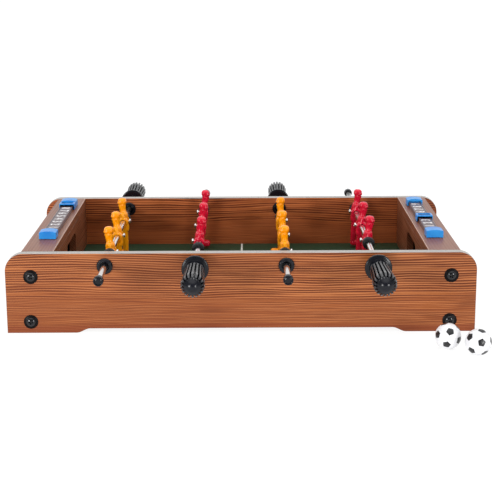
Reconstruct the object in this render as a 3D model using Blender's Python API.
"""Tabletop foosball: a wooden box with a pitch, two goals, four rods of figures, score slides and balls.

Metres, +Z up. The origin is the centre of the pitch, on its playing surface. X runs from goal to goal
and Y runs along the rods, from the front wall to the back wall.
"""
import math

import bmesh
import bpy
from mathutils import Euler, Matrix, Vector

# Driving dimensions of the box.
LENGTH = 0.510
WIDTH = 0.310
HEIGHT = 0.089
WALL = 0.011
CORNER_RADIUS = 0.020
PITCH_HEIGHT = 0.028
PITCH_BOARD = 0.005
REBATE = 0.0005
ARCH_RISE = 0.0048
ARCH_HALF_LENGTH = 0.165
ARCH_OGEE = 0.0145
GAP = 0.0003

# The ends: a shelf on top of the goal wall and the end panel, with a screw post at each corner.
SHELF_INNER = 0.2034
SHELF_OUTER = 0.2384
SHELF_THICKNESS = 0.009
GOAL_WALL = 0.008
END_PANEL = 0.006
POST_DEPTH = 0.016
POST_WIDTH = 0.020
GOAL_HALF_WIDTH = 0.038
GOAL_HEIGHT = 0.041
GOAL_CORNER = 0.009

# The rods. Distances along a rod are from its middle figure, with the handle on the positive side.
ROD_SPACING = 0.098
ROD_HEIGHT = 0.047
ROD_RADIUS = 0.00315
BORE_RADIUS = 0.0036
FIGURE_SPACING = 0.0805
HANDLE_START = 0.207
HANDLE_LENGTH = 0.080
CAP_END = 0.209
CAP_LENGTH = 0.009
CAP_RADIUS = 0.0054
BUMPER_RADIUS = 0.0070
BUMPER_LENGTH = 0.009
BUSHING_HUB = 0.0052
BUSHING_FLANGE = 0.0087
BUSHING_FLANGE_DEPTH = 0.0022
BUSHING_LIP = 0.0063
BUSHING_LIP_DEPTH = 0.0010

# The score slides on the two shelves.
SCORER_FRONT = -0.088
SCORER_BACK = 0.104
BLOCK_DEPTH = 0.017
BLOCK_WIDTH = 0.0192
BLOCK_SIDE = 0.0065
BLOCK_HEIGHT = 0.009
BAR_WIDTH = 0.015
BAR_HEIGHT = 0.005
SLIDER_DEPTH = 0.014
SLIDER_HEIGHT = 0.008

BALL_RADIUS = 0.0138

# Each rod: name, handle side along Y, how far it is slid along Y, forward lean of its figures, team.
RODS = (
    ("1", 1, -0.010, 2.0, "yellow"),
    ("2", -1, 0.040, 5.0, "red"),
    ("3", 1, -0.009, -1.0, "yellow"),
    ("4", -1, 0.041, 4.0, "red"),
)

# How far a bumper sits out from its figure. The others touch theirs.
LOOSE_BUMPERS = {("2", "front"): 0.022}

# Each score slide: its place along X, and its slider's place along Y.
SCORERS = {"left": (-0.2180, 0.0794), "right": (0.2185, 0.0030)}
BALL_PLACES = {"ball_1": (0.2159, -0.2160), "ball_2": (0.2438, -0.2365)}

FLOOR_Z = -PITCH_HEIGHT
TOP_Z = HEIGHT - PITCH_HEIGHT
WALL_INNER_Y = WIDTH / 2 - WALL
WALL_MIDDLE_Y = WIDTH / 2 - WALL / 2
SHELF_UNDERSIDE = TOP_Z - SHELF_THICKNESS

# A figure's sections, from its foot to its crown: height above the rod, forward offset of the centre,
# half depth (front to back) and half width (along the rod).
FIGURE_SECTIONS = (
    (-0.0440, 0.0036, 0.0064, 0.0054),
    (-0.0425, 0.0040, 0.0078, 0.0062),
    (-0.0380, 0.0034, 0.0070, 0.0060),
    (-0.0350, -0.0002, 0.0036, 0.0052),
    (-0.0220, -0.0004, 0.0040, 0.0058),
    (-0.0085, -0.0002, 0.0054, 0.0078),
    (-0.0040, 0.0000, 0.0062, 0.0088),
    (0.0055, 0.0000, 0.0062, 0.0094),
    (0.0105, 0.0002, 0.0052, 0.0092),
    (0.0125, 0.0005, 0.0040, 0.0055),
    (0.0150, 0.0008, 0.0040, 0.0040),
    (0.0230, 0.0010, 0.0052, 0.0048),
    (0.0272, 0.0008, 0.0056, 0.0050),
    (0.0293, 0.0008, 0.0040, 0.0036),
)
FIGURE_SIDES = 10

# A handle's stations: distance from its flange, radius, depth of its grooves.
HANDLE_STATIONS = (
    (0.0000, 0.0147, 0.0),
    (0.0022, 0.0147, 0.0),
    (0.0140, 0.0108, 0.0),
    (0.0160, 0.0106, 0.0034),
    (0.0420, 0.0108, 0.0036),
    (0.0620, 0.0123, 0.0040),
    (0.0700, 0.0117, 0.0036),
    (0.0735, 0.0096, 0.0),
    (0.0775, 0.0062, 0.0),
)
HANDLE_GROOVES = 18
HANDLE_BORE_DEPTH = 0.062

MATERIALS = {
    "wood": ((0.38, 0.13, 0.06), 0.42, 0.0),
    "end_wood": ((0.34, 0.14, 0.08), 0.42, 0.0),
    "pitch": ((0.02, 0.09, 0.04), 0.55, 0.0),
    "steel": ((0.75, 0.74, 0.73), 0.18, 1.0),
    "black_plastic": ((0.015, 0.016, 0.020), 0.30, 0.0),
    "rubber": ((0.020, 0.020, 0.022), 0.75, 0.0),
    "yellow": ((1.00, 0.38, 0.01), 0.40, 0.0),
    "red": ((0.52, 0.006, 0.030), 0.35, 0.0),
    "blue": ((0.02, 0.26, 0.80), 0.35, 0.0),
    "number_bar": ((0.05, 0.045, 0.05), 0.35, 0.0),
    "ball_white": ((0.85, 0.85, 0.85), 0.35, 0.0),
}


def clear_scene():
    for old in list(bpy.data.objects):
        bpy.data.objects.remove(old, do_unlink=True)


def make_material(name):
    colour, roughness, metallic = MATERIALS[name]
    material = bpy.data.materials.new(name)
    material.use_nodes = True
    shader = material.node_tree.nodes["Principled BSDF"]
    shader.inputs["Base Color"].default_value = (*colour, 1.0)
    shader.inputs["Roughness"].default_value = roughness
    shader.inputs["Metallic"].default_value = metallic
    return material


def add_object(name, bm, material, location=(0, 0, 0), parent=None, smooth_angle=None):
    """Turn bm into a named object with outward faces, and free bm."""
    bmesh.ops.recalc_face_normals(bm, faces=bm.faces)
    mesh = bpy.data.meshes.new(name)
    bm.to_mesh(mesh)
    bm.free()
    if smooth_angle:
        mesh.shade_smooth()
        mesh.set_sharp_from_angle(angle=math.radians(smooth_angle))
    piece = bpy.data.objects.new(name, mesh)
    bpy.context.scene.collection.objects.link(piece)
    piece.location = location
    piece.parent = parent
    if material:
        mesh.materials.append(materials[material])
    return piece


def add_empty(name, location, lean=0.0, parent=None):
    empty = bpy.data.objects.new(name, None)
    bpy.context.scene.collection.objects.link(empty)
    empty.location = location
    empty.rotation_euler = Euler((0.0, lean, 0.0))
    empty.parent = parent
    return empty


def box(low, high):
    bm = bmesh.new()
    bmesh.ops.create_cube(bm, size=1.0)
    low, high = Vector(low), Vector(high)
    size = high - low
    bmesh.ops.scale(bm, vec=size, verts=bm.verts)
    bmesh.ops.translate(bm, vec=(low + high) / 2, verts=bm.verts)
    return bm


def extruded(points, plane, start, end):
    """A prism of a flat outline. plane names its two axes, and it runs from start to end on the third."""
    first, second = ("XYZ".index(letter) for letter in plane)
    third = 3 - first - second
    bm = bmesh.new()
    verts = []
    for u, v in points:
        place = [0.0, 0.0, 0.0]
        place[first], place[second], place[third] = u, v, start
        verts.append(bm.verts.new(place))
    face = bm.faces.new(verts)
    made = bmesh.ops.extrude_face_region(bm, geom=[face])
    moved = [item for item in made["geom"] if isinstance(item, bmesh.types.BMVert)]
    shift = [0.0, 0.0, 0.0]
    shift[third] = end - start
    bmesh.ops.translate(bm, vec=shift, verts=moved)
    return bm


def arc(centre, radius, start_deg, end_deg, steps):
    points = []
    for step in range(steps + 1):
        angle = math.radians(start_deg + (end_deg - start_deg) * step / steps)
        points.append((centre[0] + radius * math.cos(angle), centre[1] + radius * math.sin(angle)))
    return points


def skin(bm, rings, closed=False):
    """Join rings of vertices; a ring of one vertex is a pole. closed also joins the last to the first."""
    pairs = list(zip(rings, rings[1:]))
    if closed:
        pairs.append((rings[-1], rings[0]))
    for near, far in pairs:
        count = max(len(near), len(far))
        for index in range(count):
            following = (index + 1) % count
            corners = []
            for ring, order in ((near, (index, following)), (far, (following, index))):
                corners += [ring[0]] if len(ring) == 1 else [ring[item] for item in order]
            bm.faces.new(corners)


def revolved(profile, segments, closed):
    """Turn a profile of (radius, place along +Y) round the Y axis."""
    bm = bmesh.new()
    rings = []
    for radius, along in profile:
        if radius == 0:
            rings.append([bm.verts.new((0.0, along, 0.0))])
            continue
        ring = arc((0.0, 0.0), radius, 0.0, 360.0 * (segments - 1) / segments, segments - 1)
        rings.append([bm.verts.new((x, along, z)) for x, z in ring])
    skin(bm, rings, closed)
    return bm


def cut(piece, bm, name):
    """Cut piece by bm, whose guide object stays out of the model."""
    cutter = add_object(name, bm, None)
    cutter.hide_render = True
    cutter.display_type = "WIRE"
    modifier = piece.modifiers.new(name, "BOOLEAN")
    modifier.operation = "DIFFERENCE"
    modifier.solver = "EXACT"
    modifier.object = cutter
    return cutter


def merge(target, source):
    """Add the shapes of source to target, and free source."""
    mesh = bpy.data.meshes.new("merged")
    source.to_mesh(mesh)
    source.free()
    target.from_mesh(mesh)
    bpy.data.meshes.remove(mesh)


def rod_x(number):
    return (int(number) - 2.5) * ROD_SPACING


# ---- the wooden box ----

def long_wall_outline():
    """Feet at both ends, a low arch between them and rounded upper corners."""
    half = LENGTH / 2
    upper = TOP_Z - CORNER_RADIUS
    ogee = []
    for step in range(5):
        part = step / 4
        rise = part * part * (3 - 2 * part)
        ogee.append((-ARCH_HALF_LENGTH - ARCH_OGEE * (1 - part), FLOOR_Z + ARCH_RISE * rise))
    underside = [(-half, FLOOR_Z)] + ogee
    points = underside + [(-x, z) for x, z in reversed(underside)]
    points += arc((half - CORNER_RADIUS, upper), CORNER_RADIUS, 0, 90, 6)
    points += arc((CORNER_RADIUS - half, upper), CORNER_RADIUS, 90, 180, 6)
    return points


def make_long_walls():
    hole_radius = (BUSHING_HUB + GAP) / math.cos(math.pi / 16)
    for name, side in (("front_wall", -1), ("back_wall", 1)):
        outline = long_wall_outline()
        wall = add_object(name, extruded(outline, "XZ", side * WALL_INNER_Y, side * WIDTH / 2), "wood")
        holes = bmesh.new()
        for number, *_ in RODS:
            hole = revolved(((0, -WALL), (hole_radius, -WALL), (hole_radius, WALL), (0, WALL)), 16, False)
            bmesh.ops.translate(hole, vec=(rod_x(number), side * WALL_MIDDLE_Y, ROD_HEIGHT), verts=hole.verts)
            merge(holes, hole)
        cut(wall, holes, name + "_holes")


def make_pitch():
    """The board lies between the long walls, notched for the screw posts and rebated for the goal walls."""
    end = SHELF_OUTER - END_PANEL - GAP
    side = WALL_INNER_Y - GAP
    notch_x = SHELF_OUTER - POST_DEPTH - GAP
    notch_y = side - POST_WIDTH - GAP
    quarter = ((end, notch_y), (notch_x, notch_y), (notch_x, side))
    outline = []
    for flip_x, flip_y in ((1, 1), (-1, 1), (-1, -1), (1, -1)):
        corner = [(flip_x * x, flip_y * y) for x, y in quarter]
        outline += corner if flip_x == flip_y else reversed(corner)
    board = add_object("pitch_board", extruded(outline, "XY", -PITCH_BOARD, 0.0), "pitch")
    for name, flip in (("left", -1), ("right", 1)):
        inner, outer = sorted((flip * (SHELF_INNER - GAP), flip * SHELF_OUTER))
        cut(board, box((inner, -WIDTH, -REBATE), (outer, WIDTH, PITCH_BOARD)), name + "_rebate")


def goal_wall_outline():
    side = WALL_INNER_Y - GAP
    top = SHELF_UNDERSIDE - GAP
    spring = GOAL_HEIGHT - GOAL_CORNER
    reach = GOAL_HALF_WIDTH - GOAL_CORNER
    base = GAP - REBATE
    points = [(-side, base), (-GOAL_HALF_WIDTH, base)]
    points += arc((-reach, spring), GOAL_CORNER, 180, 90, 4)
    points += arc((reach, spring), GOAL_CORNER, 90, 0, 4)
    points += [(GOAL_HALF_WIDTH, base), (side, base), (side, top), (-side, top)]
    return points


def end_panel_outline(flip):
    """The panel seen from above, with a thick screw post at each end."""
    side = WALL_INNER_Y - GAP
    inner = SHELF_OUTER - END_PANEL
    post = SHELF_OUTER - POST_DEPTH
    post_y = side - POST_WIDTH
    half = [(SHELF_OUTER, side), (post, side), (post, post_y), (inner, post_y)]
    points = half + [(x, -y) for x, y in reversed(half)]
    return [(flip * x, y) for x, y in points]


def make_ends():
    side = WALL_INNER_Y - GAP
    for name, flip in (("left", -1), ("right", 1)):
        inner, outer = sorted((flip * SHELF_INNER, flip * SHELF_OUTER))
        add_object(name + "_shelf", box((inner, -side, SHELF_UNDERSIDE), (outer, side, TOP_Z)), "end_wood")
        faces = (flip * SHELF_INNER, flip * (SHELF_INNER + GOAL_WALL))
        add_object(name + "_goal_wall", extruded(goal_wall_outline(), "YZ", *faces), "end_wood")
        heights = (FLOOR_Z + ARCH_RISE, SHELF_UNDERSIDE - GAP)
        add_object(name + "_end_panel", extruded(end_panel_outline(flip), "XY", *heights), "end_wood")


# ---- the rods and what is on them ----

def make_bushings():
    """Each bushing grips its wall between a flange and a snap lip, and its bore guides the rod.

    The flange is on the wall face that looks away from the rod's handle.
    """
    half = WALL / 2 + GAP
    flange_face = half + BUSHING_FLANGE_DEPTH
    lip_face = half + BUSHING_LIP_DEPTH
    profile = (
        (BORE_RADIUS, flange_face),
        (BUSHING_FLANGE, flange_face),
        (BUSHING_FLANGE, half),
        (BUSHING_HUB, half),
        (BUSHING_HUB, -half),
        (BUSHING_LIP, -half),
        (BUSHING_LIP, -lip_face),
        (BORE_RADIUS, -lip_face),
    )
    for number, handle_side, *_ in RODS:
        turned = [(radius, -handle_side * along) for radius, along in profile]
        for name, side in (("front", -1), ("back", 1)):
            place = (rod_x(number), side * WALL_MIDDLE_Y, ROD_HEIGHT)
            bushing = revolved(turned, 12, True)
            add_object(f"bushing_{number}_{name}", bushing, "black_plastic", place, smooth_angle=40)


def make_figure_mesh():
    """A figure that faces +X, standing on the rod's axis, before its bore is cut."""
    bm = bmesh.new()
    rings = []
    for height, forward, depth, width in FIGURE_SECTIONS:
        ring = []
        for step in range(FIGURE_SIDES):
            angle = 2 * math.pi * step / FIGURE_SIDES
            ring.append(bm.verts.new((forward + depth * math.cos(angle), width * math.sin(angle), height)))
        rings.append(ring)
    skin(bm, rings)
    bm.faces.new(rings[0])
    bm.faces.new(rings[-1])
    return bm


def make_figures(number, team, facing, parent):
    bore = BORE_RADIUS / math.cos(math.pi / 12)
    for letter, place in zip("abc", (-1, 0, 1)):
        name = f"player_{number}{letter}"
        bm = make_figure_mesh()
        bmesh.ops.rotate(bm, matrix=Matrix.Rotation(0.0 if facing > 0 else math.pi, 3, "Z"), verts=bm.verts)
        figure = add_object(name, bm, team, (0, place * FIGURE_SPACING, 0), parent, 40)
        reach = 2 * BUMPER_RADIUS
        hole = revolved(((0, -reach), (bore, -reach), (bore, reach), (0, reach)), 12, False)
        cutter = cut(figure, hole, name + "_bore")
        cutter.parent = figure


def make_bumpers(number, parent):
    """Rubber rings outside the two outer figures, which stop the rod at the bushings."""
    half = BUMPER_LENGTH / 2
    profile = ((BORE_RADIUS, half), (BUMPER_RADIUS, half), (BUMPER_RADIUS, -half), (BORE_RADIUS, -half))
    figure_edge = max(width for _, _, _, width in FIGURE_SECTIONS)
    centre = FIGURE_SPACING + figure_edge + GAP + half
    for name, side in (("front", -1), ("back", 1)):
        ring = revolved(profile, 12, True)
        place = side * (centre + LOOSE_BUMPERS.get((number, name), 0.0))
        add_object(f"bumper_{number}_{name}", ring, "rubber", (0, place, 0), parent, 40)


def make_handle(number, side, parent):
    """A flanged grip with deep grooves and a domed end, and a blind bore for the rod."""
    bm = bmesh.new()
    start = HANDLE_START
    rings = []
    for radius, along in ((0, HANDLE_BORE_DEPTH), (BORE_RADIUS, HANDLE_BORE_DEPTH), (BORE_RADIUS, 0.0)):
        if radius == 0:
            rings.append([bm.verts.new((0, side * (start + along), 0))])
            continue
        rings.append(handle_ring(bm, side * (start + along), radius, 0.0))
    for along, radius, groove in HANDLE_STATIONS:
        rings.append(handle_ring(bm, side * (start + along), radius, groove))
    rings.append([bm.verts.new((0, side * (start + HANDLE_LENGTH), 0))])
    skin(bm, rings)
    add_object(f"handle_{number}", bm, "black_plastic", parent=parent, smooth_angle=30)


def handle_ring(bm, along, radius, groove):
    """A ring whose every third vertex lies at the bottom of a groove."""
    count = 3 * HANDLE_GROOVES
    ring = []
    for step in range(count):
        angle = 2 * math.pi * step / count
        reach = radius - groove if step % 3 == 0 else radius
        ring.append(bm.verts.new((reach * math.sin(angle), along, reach * math.cos(angle))))
    return ring


def make_end_cap(number, side, parent):
    mouth = CAP_END - CAP_LENGTH
    bottom = CAP_END - 0.003
    shoulder = CAP_END - 0.0025
    profile = (
        (0, bottom),
        (BORE_RADIUS, bottom),
        (BORE_RADIUS, mouth),
        (CAP_RADIUS, mouth),
        (CAP_RADIUS, shoulder),
        (CAP_RADIUS * 0.7, CAP_END - 0.0005),
        (0, CAP_END),
    )
    profile = [(radius, -side * along) for radius, along in profile]
    cap = revolved(profile, 12, False)
    add_object(f"end_cap_{number}", cap, "black_plastic", parent=parent, smooth_angle=40)


def make_rod(number, side, parent):
    """The steel rod reaches into the handle at one end and into the end cap at the other."""
    handle_end = side * (HANDLE_START + HANDLE_BORE_DEPTH - 2 * GAP)
    cap_end = -side * (CAP_END - 0.003 - 2 * GAP)
    profile = ((0, cap_end), (ROD_RADIUS, cap_end), (ROD_RADIUS, handle_end), (0, handle_end))
    add_object(f"rod_{number}", revolved(profile, 16, False), "steel", parent=parent, smooth_angle=40)


def make_rods():
    for number, side, shift, lean, team in RODS:
        facing = 1 if team == "red" else -1
        centre = (rod_x(number), shift, ROD_HEIGHT)
        axis = add_empty(f"rod_{number}_axis", centre)
        figures = add_empty(f"rod_{number}_figures", (0, 0, 0), facing * math.radians(lean), axis)
        make_rod(number, side, axis)
        make_figures(number, team, facing, figures)
        make_bumpers(number, figures)
        make_handle(number, side, figures)
        make_end_cap(number, side, figures)


# ---- score slides and balls ----

def block_outline():
    """An end block from the front: a flat base, upright sides and an arched top."""
    half = BLOCK_WIDTH / 2
    rise = BLOCK_HEIGHT - BLOCK_SIDE
    base = TOP_Z + GAP
    points = [(-half, base), (half, base)]
    for step in range(9):
        across = half * (1 - step / 4)
        points.append((across, base + BLOCK_SIDE + rise * (1 - (across / half) ** 2)))
    return points


def slider_outline():
    """The slider from the front: it straddles the number bar."""
    half = BLOCK_WIDTH / 2
    inner = BAR_WIDTH / 2 + 2 * GAP
    foot = TOP_Z + GAP
    top = TOP_Z + SLIDER_HEIGHT
    ceiling = TOP_Z + BAR_HEIGHT + 3 * GAP
    outer = [(half, foot), (half, top)]
    hollow = [(-inner, foot), (-inner, ceiling), (inner, ceiling), (inner, foot)]
    return [(-half, top), (-half, foot)] + hollow + outer


def make_scorers():
    for name, (x, slider_y) in SCORERS.items():
        ends = (("front", SCORER_FRONT, 1), ("back", SCORER_BACK, -1))
        for end_name, start, inward in ends:
            block = extruded(block_outline(), "XZ", start, start + inward * BLOCK_DEPTH)
            add_object(f"{name}_score_block_{end_name}", block, "blue", (x, 0, 0))
        start = SCORER_FRONT + BLOCK_DEPTH + GAP
        end = SCORER_BACK - BLOCK_DEPTH - GAP
        low = (x - BAR_WIDTH / 2, start, TOP_Z + GAP)
        high = (x + BAR_WIDTH / 2, end, TOP_Z + BAR_HEIGHT)
        add_object(name + "_number_bar", box(low, high), "number_bar")
        body = extruded(slider_outline(), "XZ", -SLIDER_DEPTH / 2, SLIDER_DEPTH / 2)
        slider = add_object(name + "_score_slider", body, "blue", (x, slider_y, 0))
        reach = BAR_WIDTH / 2 - 0.001
        depth = SLIDER_DEPTH / 2 - 0.003
        window = box((-reach, -depth, TOP_Z + BAR_HEIGHT), (reach, depth, TOP_Z + 2 * SLIDER_HEIGHT))
        cut(slider, window, name + "_window").parent = slider


def make_balls():
    for name, (x, y) in BALL_PLACES.items():
        bm = bmesh.new()
        bmesh.ops.create_icosphere(bm, subdivisions=3, radius=BALL_RADIUS)
        lowest = min(vert.co.z for vert in bm.verts)
        add_object(name, bm, "ball_white", (x, y, FLOOR_Z - lowest), smooth_angle=60)


clear_scene()
materials = {name: make_material(name) for name in MATERIALS}
make_long_walls()
make_pitch()
make_ends()
make_bushings()
make_rods()
make_scorers()
make_balls()
